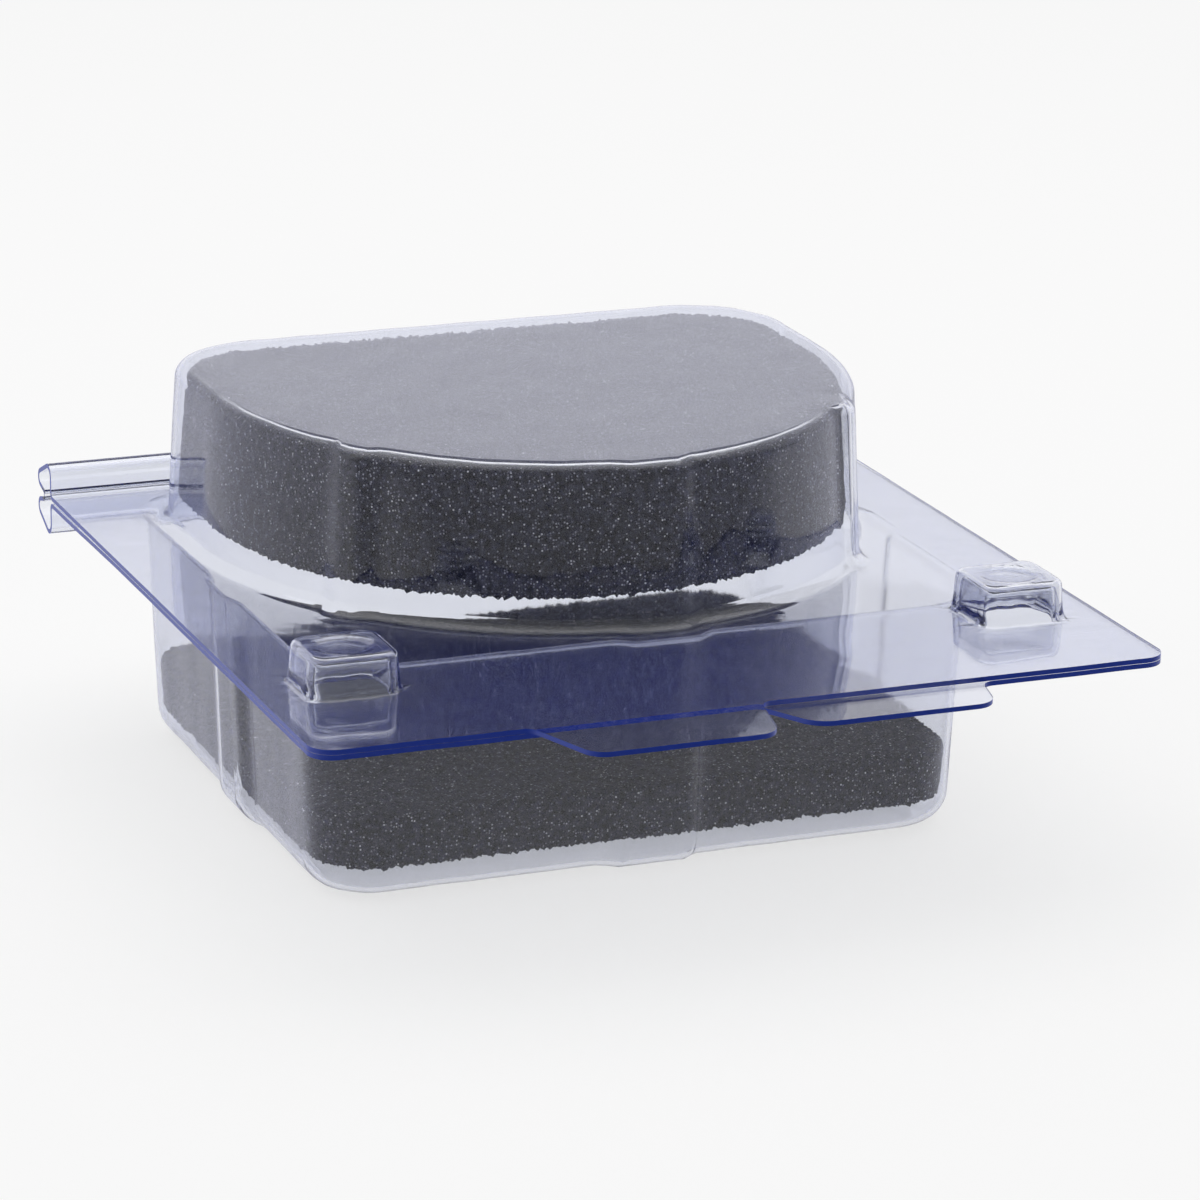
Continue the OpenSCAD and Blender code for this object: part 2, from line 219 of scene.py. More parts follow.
def tray_outline(inset, step=1.0, corner_steps=14, ribs=1):
    """Outline of the tray's wall, moved in by inset. Every inset gives as many points."""
    a, b = TRAY_W / 2 - inset, TRAY_L / 2 - inset
    r = TRAY_CORNER_R - inset
    side_half, front_half = TRAY_L / 2 - TRAY_CORNER_R, TRAY_W / 2 - TRAY_CORNER_R
    side = np.linspace(-side_half, side_half, int(2 * side_half / step) + 1)[1:-1]
    front = np.linspace(-front_half, front_half, int(2 * front_half / step) + 1)[1:-1]
    side_out = rib(side + SIDE_RIB_FRONT, **SIDE_RIB) * ribs
    front_out = rib(front, **FRONT_RIB) * ribs
    return np.concatenate([
        np.stack([a + side_out, side], 1),
        quarter_arc(a - r, b - r, r, 0, corner_steps),
        np.stack([-front, 0 * front + b], 1),
        quarter_arc(r - a, b - r, r, QUARTER, corner_steps),
        np.stack([-a - side_out[::-1], side[::-1]], 1),
        quarter_arc(r - a, r - b, r, 2 * QUARTER, corner_steps),
        np.stack([front, -b - front_out], 1),
        quarter_arc(a - r, r - b, r, 3 * QUARTER, corner_steps),
    ])


def dome_outline(inset, step=1.0, corner_steps=14, ribs=1):
    """Outline of the dome's wall, moved in by inset: straight back, round front."""
    a, b = DOME_W / 2 - inset, DOME_FRONT_L - inset
    back = CREASE_Y - DOME_BACK - inset
    r = DOME_CORNER_R - inset
    back_half = DOME_W / 2 - DOME_CORNER_R
    side_l = DOME_SIDE_L - DOME_CORNER_R
    across = np.linspace(-back_half, back_half, int(2 * back_half / step) + 1)[1:-1]
    down = np.linspace(0, side_l, int(side_l / step) + 1)
    turns = np.linspace(-QUARTER, QUARTER, int(2.75 * DOME_FRONT_L / step))[1:-1]
    mid = rib(DOME_W / 2 * np.sin(turns), DOME_MID_RIB_W, DOME_RIB_H)
    beside = rib(DOME_W / 2 * (np.abs(turns) - DOME_SIDE_RIB_TURN), DOME_SIDE_RIB_W, DOME_RIB_H)
    out = np.maximum(mid, beside) * ribs
    normal = np.stack([np.sin(turns) * b, -np.cos(turns) * a], 1)
    normal /= np.linalg.norm(normal, axis=1)[:, None]
    front = np.stack([a * np.sin(turns), DOME_FRONT_Y - b * np.cos(turns)], 1) + normal * out[:, None]
    return np.concatenate([
        np.stack([0 * down + a, DOME_FRONT_Y + down], 1)[:-1],
        quarter_arc(a - r, back - r, r, 0, corner_steps),
        np.stack([-across, 0 * across + back], 1),
        quarter_arc(r - a, back - r, r, QUARTER, corner_steps),
        np.stack([0 * down - a, DOME_FRONT_Y + down[::-1]], 1)[1:],
        front,
    ])


def boss_outline(inset, step=0.5, corner_steps=8):
    """Outline of a snap boss round its own middle, moved in by inset."""
    a, b = BOSS_W / 2 - inset, BOSS_L / 2 - inset
    r = max(BOSS_CORNER_R - inset, BOSS_LEAST_R)
    half_a, half_b = BOSS_W / 2 - BOSS_CORNER_R, BOSS_L / 2 - BOSS_CORNER_R
    across = np.linspace(-half_a, half_a, int(2 * half_a / step) + 1)[1:-1] * (a - r) / half_a
    along = np.linspace(-half_b, half_b, int(2 * half_b / step) + 1)[1:-1] * (b - r) / half_b
    return np.concatenate([
        np.stack([0 * along + a, along], 1),
        quarter_arc(a - r, b - r, r, 0, corner_steps),
        np.stack([-across, 0 * across + b], 1),
        quarter_arc(r - a, b - r, r, QUARTER, corner_steps),
        np.stack([0 * along - a, -along], 1),
        quarter_arc(r - a, r - b, r, 2 * QUARTER, corner_steps),
        np.stack([across, 0 * across - b], 1),
        quarter_arc(a - r, r - b, r, 3 * QUARTER, corner_steps),
    ])


def cup_levels(height, draft, floor_r, mouth, fillet_steps=8, wall_steps=10):
    """Inset and height of a drawn cup's sheet centre, from its flange down to its floor."""
    lean = draft / height
    half = SHEET / 2
    angles = QUARTER * np.arange(fillet_steps + 1) / fillet_steps
    down = angles[::-1]
    top = np.stack([
        lean * mouth - mouth + (mouth + half) * np.cos(down),
        height - mouth + (mouth + half) * np.sin(down)], 1)
    top_end, floor_start = top[-1], np.array([draft - lean * floor_r + half, floor_r])
    fractions = (np.arange(1, wall_steps) / wall_steps)[:, None]
    wall = top_end + (floor_start - top_end) * fractions
    floor = np.stack([
        draft - lean * floor_r + half + (floor_r - half) * (1 - np.sin(down)),
        floor_r - (floor_r - half) * np.cos(down)], 1)
    return np.concatenate([top, wall, floor])


# Meshes, as points in millimetres and faces

class Sheet:
    """Collects the patches of one formed sheet's centre surface."""

    def __init__(self):
        self.points = []
        self.faces = []

    def add(self, points, faces):
        start = len(self.points)
        self.points += [tuple(p) for p in points]
        self.faces += [tuple(start + i for i in f) for f in faces]

    def add_rings(self, rings):
        """Joins closed rings of as many points each by quads."""
        count = len(rings[0])
        faces = []
        for k in range(len(rings) - 1):
            for i in range(count):
                j = (i + 1) % count
                faces.append((k * count + i, k * count + j, (k + 1) * count + j, (k + 1) * count + i))
        self.add(np.concatenate(rings), faces)

    def add_grid(self, grid):
        """Joins open rows of as many points each by quads."""
        rows, count = grid.shape[:2]
        faces = []
        for k in range(rows - 1):
            for i in range(count - 1):
                faces.append((k * count + i, k * count + i + 1, (k + 1) * count + i + 1, (k + 1) * count + i))
        self.add(grid.reshape(-1, 3), faces)

    def add_plate(self, outer, holes, spacing, lift):
        """Fills the flat area between an outline and its holes with even triangles.
        lift gives the height of each point from its x and y."""
        points, faces = triangulated(outer, holes, spacing)
        z = lift(points[:, 0], points[:, 1])
        self.add(np.column_stack([points, z]), faces)


def inside(points, loop):
    """Which of the points lie inside a closed loop."""
    result = np.zeros(len(points), bool)
    x, y = points[:, 0], points[:, 1]
    for (x0, y0), (x1, y1) in zip(loop, np.roll(loop, -1, axis=0)):
        if y0 == y1:
            continue
        crosses = ((y0 > y) != (y1 > y)) & (x < (x1 - x0) * (y - y0) / (y1 - y0) + x0)
        result ^= crosses
    return result


def far_from(points, loop, distance):
    """Which of the points are at least distance from every point of the loop."""
    gaps = np.linalg.norm(points[:, None, :] - loop[None, :, :], axis=2)
    return gaps.min(axis=1) >= distance


def triangulated(outer, holes, spacing):
    """Points and triangles of the area between an outline and its holes."""
    low, high = outer.min(axis=0), outer.max(axis=0)
    row_gap = spacing * math.sqrt(3) / 2
    rows = np.arange(low[1] + row_gap / 2, high[1], row_gap)
    starts = (low[0] + spacing * 0.5, low[0] + spacing)
    columns = [np.arange(start, high[0], spacing) for start in starts]
    grid = np.concatenate([
        np.stack([columns[k % 2], np.full(len(columns[k % 2]), y)], 1) for k, y in enumerate(rows)])
    clear_of_edge = 0.6 * spacing
    keep = inside(grid, outer) & far_from(grid, outer, clear_of_edge)
    for hole in holes:
        keep &= ~inside(grid, hole) & far_from(grid, hole, clear_of_edge)
    points = np.concatenate([outer, *holes, grid[keep]])
    edges, start = [], 0
    for loop in [outer, *holes]:
        count = len(loop)
        edges += [(start + i, start + (i + 1) % count) for i in range(count)]
        start += count
    made = delaunay_2d_cdt([Vector(p) for p in points], edges, [], 0, 1e-5)
    made_points = np.array([tuple(p) for p in made[0]])
    faces = np.array(made[2])
    middles = made_points[faces].mean(axis=1)
    wanted = inside(middles, outer)
    for hole in holes:
        wanted &= ~inside(middles, hole)
    return made_points, [tuple(int(i) for i in f) for f in faces[wanted]]


def noise_field(seed, size, count=24):
    """A smooth random function of points, as a sum of waves about size long; near 1 at most."""
    rng = np.random.default_rng(seed)
    directions = rng.normal(size=(count, 3))
    directions /= np.linalg.norm(directions, axis=1)[:, None]
    waves = directions * 2 * math.pi / (size * rng.uniform(0.7, 1.6, count))[:, None]
    phases = rng.uniform(0, 2 * math.pi, count)

    def value(points):
        return np.sin(points @ waves.T + phases).sum(axis=1) / math.sqrt(count / 2) / 1.6
    return value


def joined(sheet, merge=0.004):
    """One mesh from a sheet's patches, with their shared edges joined and faces turned alike."""
    bm = bmesh.new()
    verts = [bm.verts.new(p) for p in sheet.points]
    for face in sheet.faces:
        bm.faces.new([verts[i] for i in face])
    bmesh.ops.remove_doubles(bm, verts=bm.verts, dist=merge)
    bmesh.ops.recalc_face_normals(bm, faces=bm.faces)
    bm.normal_update()
    return bm


def at_crease(a, b):
    """Whether the edge between two points lies along the crease, where a sheet goes on into the fold."""
    return min(a[1], b[1]) > CREASE_Y - CREASE_MARGIN and abs(a[2] - TRAY_DEPTH) < CREASE_REACH


def thickened(bm, thickness_at):
    """A closed sheet with half its thickness on each side of the centre surface, and the count of
    its cut faces, which come last. The rim along the crease isn't a cut edge."""
    bm.verts.index_update()
    points = np.array([tuple(v.co) for v in bm.verts])
    normals = np.array([tuple(v.normal) for v in bm.verts])
    half = (thickness_at(points) / 2)[:, None]
    count = len(points)
    both = np.concatenate([points + normals * half, points - normals * half])
    faces = [tuple(v.index for v in f.verts) for f in bm.faces]
    back = [tuple(count + i for i in reversed(f)) for f in faces]
    rim, seam = [], []
    for e in bm.edges:
        if len(e.link_loops) == 1:
            loop = e.link_loops[0]
            a, b = loop.vert.index, loop.link_loop_next.vert.index
            side = seam if at_crease(points[a], points[b]) else rim
            side.append((b, a, count + a, count + b))
    bm.free()
    return both, faces + back + seam + rim, len(rim)


def piece(name, points, faces, material, sharp_degrees=40, rim_faces=0):
    """A smooth-shaded object from points in millimetres. Its last rim_faces faces are a cut edge."""
    mesh = bpy.data.meshes.new(name)
    mesh.from_pydata([tuple(p) for p in np.asarray(points) * MM], [], faces)
    mesh.validate()
    mesh.update()
    mesh.polygons.foreach_set("use_smooth", [True] * len(mesh.polygons))
    mesh.set_sharp_from_angle(angle=math.radians(sharp_degrees))
    mesh.materials.append(material)
    if rim_faces:
        cut = mesh.attributes.new("cut_edge", "FLOAT", "FACE")
        cut.data.foreach_set("value", [0.0] * (len(faces) - rim_faces) + [1.0] * rim_faces)
    obj = bpy.data.objects.new(name, mesh)
    bpy.context.scene.collection.objects.link(obj)
    return obj


# The formed sheets

def tab_corners(left, length, left_corner_r):
    """Corners of an opening tab from its left root to its right one."""
    return [
        (left, FRONT_Y, TAB_ROOT_R),
        (left + TAB_LEFT_SLANT, FRONT_Y - length, left_corner_r),
        (left + TAB_W - TAB_RIGHT_SLANT, FRONT_Y - length, TAB_CORNER_R),
        (left + TAB_W, FRONT_Y, TAB_ROOT_R),
    ]


def flange_outline(tab):
    """Outline of a flange with its tab, from the beads' foot to the front."""
    back = CREASE_Y - BEAD_START
    half = FLANGE_W / 2
    corners = [(half, back, 0), (-half, back, 0), (-half, FRONT_Y, FLANGE_CORNER_R)]
    corners += tab_corners(*tab) + [(half, FRONT_Y, FLANGE_CORNER_R)]
    return spaced(rounded(corners, 10, True), FLANGE_STEP, True)


def bead_path(steps=9):
    """The sheet's centre over a bead, from its foot to the crease, above the parting plane."""
    mid = PARTING / 2 + SHEET / 2
    corners = [
        (-BEAD_START, mid, 0), (-BEAD_LEG, mid, BEAD_FOOT_R), (-BEAD_LEG, BEAD_PEAK, BEAD_PEAK_R),
        (BEAD_TIP, BEAD_TIP_H, BEAD_TIP_R), (0, mid, 0)]
    return spaced(rounded(corners, steps, False), BEAD_STEP, False)


def add_bead(sheet, side):
    """The bead along the hinge; side is 1 above the parting plane and -1 below it."""
    half = FLANGE_W / 2
    parts = math.ceil(FLANGE_W / FLANGE_STEP)
    across = half - FLANGE_W * np.arange(parts + 1) / parts
    grid = np.array([[(x, CREASE_Y + y, TRAY_DEPTH + side * z) for x in across] for y, z in bead_path()])
    sheet.add_grid(grid)


def add_cup(sheet, outline, levels, height_to_z, floor_spacing, middle=(0, 0), floor_lift=None):
    """A drawn cup from its mouth to its floor. height_to_z turns heights over the floor into z."""
    offset = np.array(middle)
    flat_rings = [outline(inset) + offset for inset, h in levels]
    heights = [height_to_z(h) for inset, h in levels]
    sheet.add_rings([np.column_stack([ring, np.full(len(ring), z)]) for ring, z in zip(flat_rings, heights)])
    lift = floor_lift or (lambda x, y: 0 * x)
    sheet.add_plate(flat_rings[-1], [], floor_spacing,
                    lambda x, y: heights[-1] + lift(x - offset[0], y - offset[1]))
    return flat_rings[0]


def boss_dip(x, y, inset):
    """The shallow round dip in the top of a boss."""
    away = np.sqrt(x ** 2 + (y * BOSS_W / BOSS_L) ** 2)
    return -BOSS_DIP_H * smooth_rise((BOSS_DIP_R - inset - away) / BOSS_DIP_FLANK)


def sheet_thickness(points, flange_z):
    """Thickness of the sheet at points: thinner where a boss is drawn up from the flange."""
    beside_x = np.abs(np.abs(points[:, 0]) - BOSS_X) < BOSS_W / 2 + BOSS_MOUTH_R
    beside_y = np.abs(points[:, 1] - BOSS_Y) < BOSS_L / 2 + BOSS_MOUTH_R
    drawn = smooth_rise((points[:, 2] - flange_z - BOSS_THIN_FROM) / BOSS_THIN_RISE)
    return SHEET - BOSS_THIN * drawn * (beside_x & beside_y)


def waved(bm, facing):
    """Moves a sheet's centre by the slight waves that forming leaves. Walls and floors only move in.
    facing is 1 where the cup stands up from its flange and -1 where it hangs down."""
    flange_wave, wall_wave = noise_field(*FLANGE_WAVE), noise_field(*WALL_WAVE)
    foot_crinkle = noise_field(*FOOT_CRINKLE)
    level, along_draw = np.array([1.0, 1.0, 0.0]), np.array([1.0, 1.0, 0.25])
    points = np.array([tuple(v.co) for v in bm.verts])
    normals = np.array([tuple(v.normal) for v in bm.verts])
    from_below = points - np.array([0.0, 0.0, TRAY_DEPTH - 30 * facing])
    outward = np.where((normals * from_below).sum(axis=1) < 0, -1.0, 1.0)[:, None] * normals
    height = (points[:, 2] - TRAY_DEPTH) * facing
    on_flange = smooth_rise(FLANGE_WAVE_TOP - height)
    in_front = smooth_rise((CREASE_Y - WAVES_FROM_CREASE - points[:, 1]) / WAVES_RUN)
    inward = WALL_WAVE_H * (1 + np.clip(wall_wave(points * along_draw), -1, 1)) * (1 - on_flange) * in_front
    moved = points - outward * inward[:, None]
    moved[:, 2] += FLANGE_WAVE_H * flange_wave(points * level) * on_flange * in_front
    for side in (-1, 1):
        past_x = np.abs(points[:, 0] - side * BOSS_X) - BOSS_W / 2
        past_y = np.abs(points[:, 1] - BOSS_Y) - BOSS_L / 2
        near = smooth_rise(CRINKLE_NEAR - np.abs(np.maximum(past_x, past_y)))
        low = smooth_rise((CRINKLE_TOP - height) / CRINKLE_RISE)
        moved[:, 2] += CRINKLE_H * foot_crinkle(points * level) * near * low
    for v, place in zip(bm.verts, moved):
        v.co = place
    bm.normal_update()


def formed_sheet(name, material, outline, levels, height_to_z, flange_z, boss_rise, boss_inset,
                 tab, facing, settle):
    """Tray or lid: flange, cup, two bosses, tab and bead as one closed sheet."""
    sheet = Sheet()
    holes = [add_cup(sheet, outline, levels, height_to_z, FLOOR_STEP)]
    boss_levels = cup_levels(boss_rise, BOSS_DRAFT, BOSS_EDGE_R - (BOSS_GAP if boss_inset else 0),
                             BOSS_MOUTH_R, 6, 6)
    boss_top = flange_z + SHEET / 2 + boss_rise
    for side in (-1, 1):
        holes.append(add_cup(
            sheet, lambda inset: boss_outline(inset + boss_inset), boss_levels,
            lambda h: boss_top - h, BOSS_TOP_STEP, (side * BOSS_X, BOSS_Y),
            lambda x, y: boss_dip(x, y, boss_inset)))
    sheet.add_plate(flange_outline(tab), holes, FLANGE_STEP, lambda x, y: 0 * x + flange_z)
    add_bead(sheet, facing)
    bm = joined(sheet)
    waved(bm, facing)
    points, faces, rim = thickened(bm, lambda p: sheet_thickness(p, flange_z))
    points[:, 2] += settle(points)
    return piece(name, np.clip(points, BOX_LOW, BOX_HIGH), faces, material, rim_faces=rim)


def tray_settle(points):
    """The tray's flange bows up to the lid's, away from the hinge, where the box snaps shut."""
    share = smooth_rise((points[:, 2] - BOW_WALL_FROM) / BOW_WALL_RISE)
    return FLANGE_BOW * smooth_rise((CREASE_Y - BOW_START - points[:, 1]) / BOW_RUN) * share


def lid_settle(points):
    """The lid's tab is bent down a little by use."""
    bend = smooth_rise((FRONT_Y + TAB_BEND_START - points[:, 1]) / (TAB_BEND_RUN * TAB_L))
    return -TAB_DROOP * bend / smooth_rise(1 / TAB_BEND_RUN)


def make_tray(material):
    """The lower formed sheet."""
    height = TRAY_FLANGE_MID - SHEET / 2
    levels = cup_levels(height, TRAY_DRAFT, TRAY_FLOOR_R, MOUTH_R)
    rise = BOSS_H + PARTING - BOSS_TOP_GAP
    return formed_sheet("tray_sheet", material, tray_outline, levels, lambda h: h,
                        TRAY_FLANGE_MID, rise, SHEET + BOSS_GAP,
                        (TAB_SPLIT_X, TRAY_TAB_L, TRAY_TAB_CORNER_R), -1, tray_settle)


def make_lid(material):
    """The upper formed sheet."""
    height = DOME_TOP - LID_FLANGE_MID - SHEET / 2
    levels = cup_levels(height, DOME_DRAFT, DOME_EDGE_R, DOME_MOUTH_R)
    return formed_sheet("lid_sheet", material, dome_outline, levels, lambda h: DOME_TOP - h,
                        LID_FLANGE_MID, BOSS_H, 0,
                        (TAB_SPLIT_X - TAB_W, TAB_L, TAB_CORNER_R), 1, lid_settle)


# The fold between the two beads

def make_fold(material):
    """The thin strip at the crease that joins the beads of lid and tray."""
    reach = PARTING / 2 + SHEET / 2
    angles = np.linspace(-QUARTER, QUARTER, 9)
    across = np.linspace(-FLANGE_W / 2, FLANGE_W / 2, 61)
    sheet = Sheet()
    middle_y = CREASE_Y - FOLD_INSIDE
    grid = np.array([[(x, middle_y + FOLD_BULGE * math.cos(a), TRAY_DEPTH + reach * math.sin(a))
                      for x in across] for a in angles])
    sheet.add_grid(grid)
    points, faces, _ = thickened(joined(sheet), lambda p: np.full(len(p), FOLD_T))
    return piece("hinge_fold", np.clip(points, BOX_LOW, BOX_HIGH), faces, material)


# The foam pads

def foam_block(name, outline, levels, material, seed, slant=0.0):
    """A pad cut from foam: rings up its side, closed at both ends, with torn cells along its edges.
    slant is the slope of the lower face from side to side."""
    flat_rings = [outline(inset) for inset, z in levels]
    sheet = Sheet()
    sheet.add_rings([np.column_stack([ring, np.full(len(ring), z)])
                     for ring, (_, z) in zip(flat_rings, levels)])
    for k in (0, -1):
        sheet.add_plate(flat_rings[k], [], PAD_FACE_STEP, lambda x, y: 0 * x + levels[k][1])
    bm = joined(sheet, 0.01)
    points = np.array([tuple(v.co) for v in bm.verts])
    normals = np.array([tuple(v.normal) for v in bm.verts])
    low, high = levels[0][1], levels[-1][1]
    near_edge = np.maximum(smooth_rise(1 - (points[:, 2] - low) / TORN_REACH),
                           smooth_rise(1 - (high - points[:, 2]) / TORN_REACH))
    near_edge[np.abs(normals[:, 2]) > 0.98] = 0
    coarse, fine = noise_field(seed, COARSE_SIZE), noise_field(seed + 1, *FINE_WAVES)
    torn = noise_field(seed + 2, *TORN_WAVES)
    depth = RELIEF_H * (1 + coarse(points) + fine(points)) + TORN_H * near_edge * (0.7 + torn(points))
    points = points - normals * np.maximum(depth, 0)[:, None]
    points[:, 2] += TORN_LIFT * near_edge * torn(points[:, [1, 2, 0]]) * (points[:, 2] < (low + high) / 2)
    points[:, 2] += slant * points[:, 0] * (high - points[:, 2]) / (high - low)
    bm.verts.index_update()
    faces = [tuple(v.index for v in f.verts) for f in bm.faces]
    bm.free()
    return piece(name, points, faces, material, 180)


def pad_levels(bottom, top, base_inset, top_inset, radius, rows):
    """Insets and heights up the side of a pad whose two edges are slightly rounded."""
    fine = np.array(PAD_EDGE_ROWS)
    low = np.stack([base_inset + radius * (1 - fine / fine[-1]) ** 2, bottom + fine], 1)
    high = np.stack([top_inset + radius * (1 - fine[::-1] / fine[-1]) ** 2, top - fine[::-1]], 1)
    fractions = (np.arange(1, rows) / rows)[:, None]
    return np.concatenate([low, low[-1] + (high[0] - low[-1]) * fractions, high])


def make_base_pad(material):
    """The thin pad, seated in the curve round the tray's floor."""
    curve_r = TRAY_FLOOR_R - SHEET
    seat = TRAY_FLOOR_R - math.sqrt(curve_r ** 2 - (curve_r - PAD_GAP) ** 2)
    lean = TRAY_DRAFT / (TRAY_FLANGE_MID - SHEET / 2)
    inset = TRAY_DRAFT - lean * TRAY_FLOOR_R + SHEET + 2 * PAD_GAP
    levels = pad_levels(seat + BASE_PAD_RAISED, seat + BASE_PAD_T, inset, inset - lean * BASE_PAD_T,
                        BASE_PAD_EDGE_R, 16)
    return foam_block("base_pad_foam", lambda i: tray_outline(i, PAD_SIDE_STEP, 60, 0), levels, material, 11)


def make_lid_pad(material):
    """The thick pad in the dome."""
    height = DOME_TOP - LID_FLANGE_MID - SHEET / 2
    lean = DOME_DRAFT / height
    gap = PAD_GAP + SHEET
    top = DOME_TOP - gap - LID_PAD_LOWERED
    bottom = DOME_TOP - gap - LID_PAD_T - LID_PAD_LONGER
    top_inset = DOME_DRAFT - lean * DOME_EDGE_R + gap + LID_PAD_TOP_IN
    base_inset = DOME_DRAFT - lean * (gap + LID_PAD_T) + gap + LID_PAD_FOOT_IN
    levels = pad_levels(bottom, top, base_inset, top_inset, LID_PAD_EDGE_R, 28)
    return foam_block("lid_pad_foam", lambda i: dome_outline(i, PAD_SIDE_STEP, 80, 0), levels, material, 21,
                      LID_PAD_SLANT)


# Materials

def new_material(name):
    """A new material, its node tree and its Principled shader."""
    material = bpy.data.materials.new(name)
    material.use_nodes = True
    tree = material.node_tree
    shader = next(n for n in tree.nodes if n.type == "BSDF_PRINCIPLED")
    return material, tree, shader


def node(tree, kind, **values):
    """Adds a shader node and sets its inputs by name."""
    made = tree.nodes.new(kind)
    for key, value in values.items():
        made.inputs[key.replace("_", " ")].default_value = value
    return made


# Clear sheet: its own colour; that of a cut edge, which is the sheet's tint seen along its length and partly
# painted glow standing in for light carried along the sheet; and how clear a cut edge is
SHEET_COLOUR, CUT_TINT_AND_PAINTED_GLOW, CUT_CLEARNESS = (0.915, 0.925, 0.955, 1), (0.022, 0.055, 0.40, 1), 0.1
SHEET_IOR = 1.49
HAZE, HAZE_ROUGHNESS, HAZE_COLOUR = 0.23, 0.5, (0.06, 0.12, 1.0, 1)
DRAWN_SCALE, DRAWN_GLOSS = 120.0, (0.01, 0.06)
RIPPLE_SCALE, RIPPLE_STRENGTH, RIPPLE_DEPTH = 260.0, 0.06, 0.0002
TINT_COLOUR, TINT_DENSITY = (0.10, 0.25, 0.82, 1), 42.0


def clear_sheet_material():
    """Blue-tinted clear sheet: faint gloss changes, a haze, and cut edges given a deep blue base colour,
    partly the sheet's tint and partly a painted glow for light carried along the sheet.
    """
    material, tree, shader = new_material("clear_sheet")
    shader.inputs["IOR"].default_value = SHEET_IOR
    shader.inputs["Sheen Weight"].default_value = HAZE
    shader.inputs["Sheen Roughness"].default_value = HAZE_ROUGHNESS
    shader.inputs["Sheen Tint"].default_value = HAZE_COLOUR
    place = tree.nodes.new("ShaderNodeTexCoord")
    cut = tree.nodes.new("ShaderNodeAttribute")
    cut.attribute_name = "cut_edge"
    # Painted glow: cut edges get a nearly opaque deep blue base colour in place of light carried along the
    # sheet to its edges.
    tone = tree.nodes.new("ShaderNodeMix")
    tone.data_type = "RGBA"
    tone.inputs["A"].default_value = SHEET_COLOUR
    tone.inputs["B"].default_value = CUT_TINT_AND_PAINTED_GLOW
    tree.links.new(cut.outputs["Fac"], tone.inputs["Factor"])
    tree.links.new(tone.outputs["Result"], shader.inputs["Base Color"])
    clearness = node(tree, "ShaderNodeMapRange", To_Min=1.0, To_Max=CUT_CLEARNESS)
    tree.links.new(cut.outputs["Fac"], clearness.inputs["Value"])
    tree.links.new(clearness.outputs["Result"], shader.inputs["Transmission Weight"])
    drawn = node(tree, "ShaderNodeTexNoise", Scale=DRAWN_SCALE, Detail=2.0, Roughness=0.5)
    spread = node(tree, "ShaderNodeMapRange", To_Min=DRAWN_GLOSS[0], To_Max=DRAWN_GLOSS[1])
    tree.links.new(place.outputs["Object"], drawn.inputs["Vector"])
    tree.links.new(drawn.outputs["Fac"], spread.inputs["Value"])
    tree.links.new(spread.outputs["Result"], shader.inputs["Roughness"])
    ripple = node(tree, "ShaderNodeTexNoise", Scale=RIPPLE_SCALE, Detail=1.0)
    bump = node(tree, "ShaderNodeBump", Strength=RIPPLE_STRENGTH, Distance=RIPPLE_DEPTH)
    tree.links.new(place.outputs["Object"], ripple.inputs["Vector"])
    tree.links.new(ripple.outputs["Fac"], bump.inputs["Height"])
    tree.links.new(bump.outputs["Normal"], shader.inputs["Normal"])
    tint = tree.nodes.new("ShaderNodeVolumeAbsorption")
    tint.inputs["Color"].default_value = TINT_COLOUR
    tint.inputs["Density"].default_value = TINT_DENSITY
    output = next(n for n in tree.nodes if n.type == "OUTPUT_MATERIAL")
    tree.links.new(tint.outputs["Volume"], output.inputs["Volume"])
    return material


def ramp(tree, stops):
    """A colour ramp from (position, colour) pairs."""
    made = tree.nodes.new("ShaderNodeValToRGB")
    elements = made.color_ramp.elements
    while len(elements) < len(stops):
        elements.new(0.5)
    for element, (position, colour) in zip(elements, stops):
        element.position = position
        element.color = (*colour, 1)
    return made


# Foam: how many cells, painted glint specks and patches lie along a metre
CELL_SCALE, PAINTED_GLINT_SCALE, PATCH_SCALE = 3400.0, 3700.0, 1300.0
# Colours of its body by the strength of the patches, size of a painted glint speck, and how bright which
# share of them is; the specks are highlights painted into the base colour
BODY_STOPS = [(0.38, (0.002, 0.002, 0.004)), (0.64, (0.042, 0.042, 0.062))]
PAINTED_GLINT_STOPS = [(0.20, (1, 1, 1)), (0.48, (0, 0, 0))]
PAINTED_GLINT_BRIGHTNESS = [(0.45, (0, 0, 0)), (0.75, (0.16, 0.16, 0.19)), (0.94, (0.42, 0.42, 0.47)),
                    (1.0, (1.0, 1.0, 1.0))]
FOAM_ROUGHNESS, FOAM_SPECULAR = 0.9, 0.2
CELL_STRENGTH, CELL_DEPTH = 0.8, 0.0002


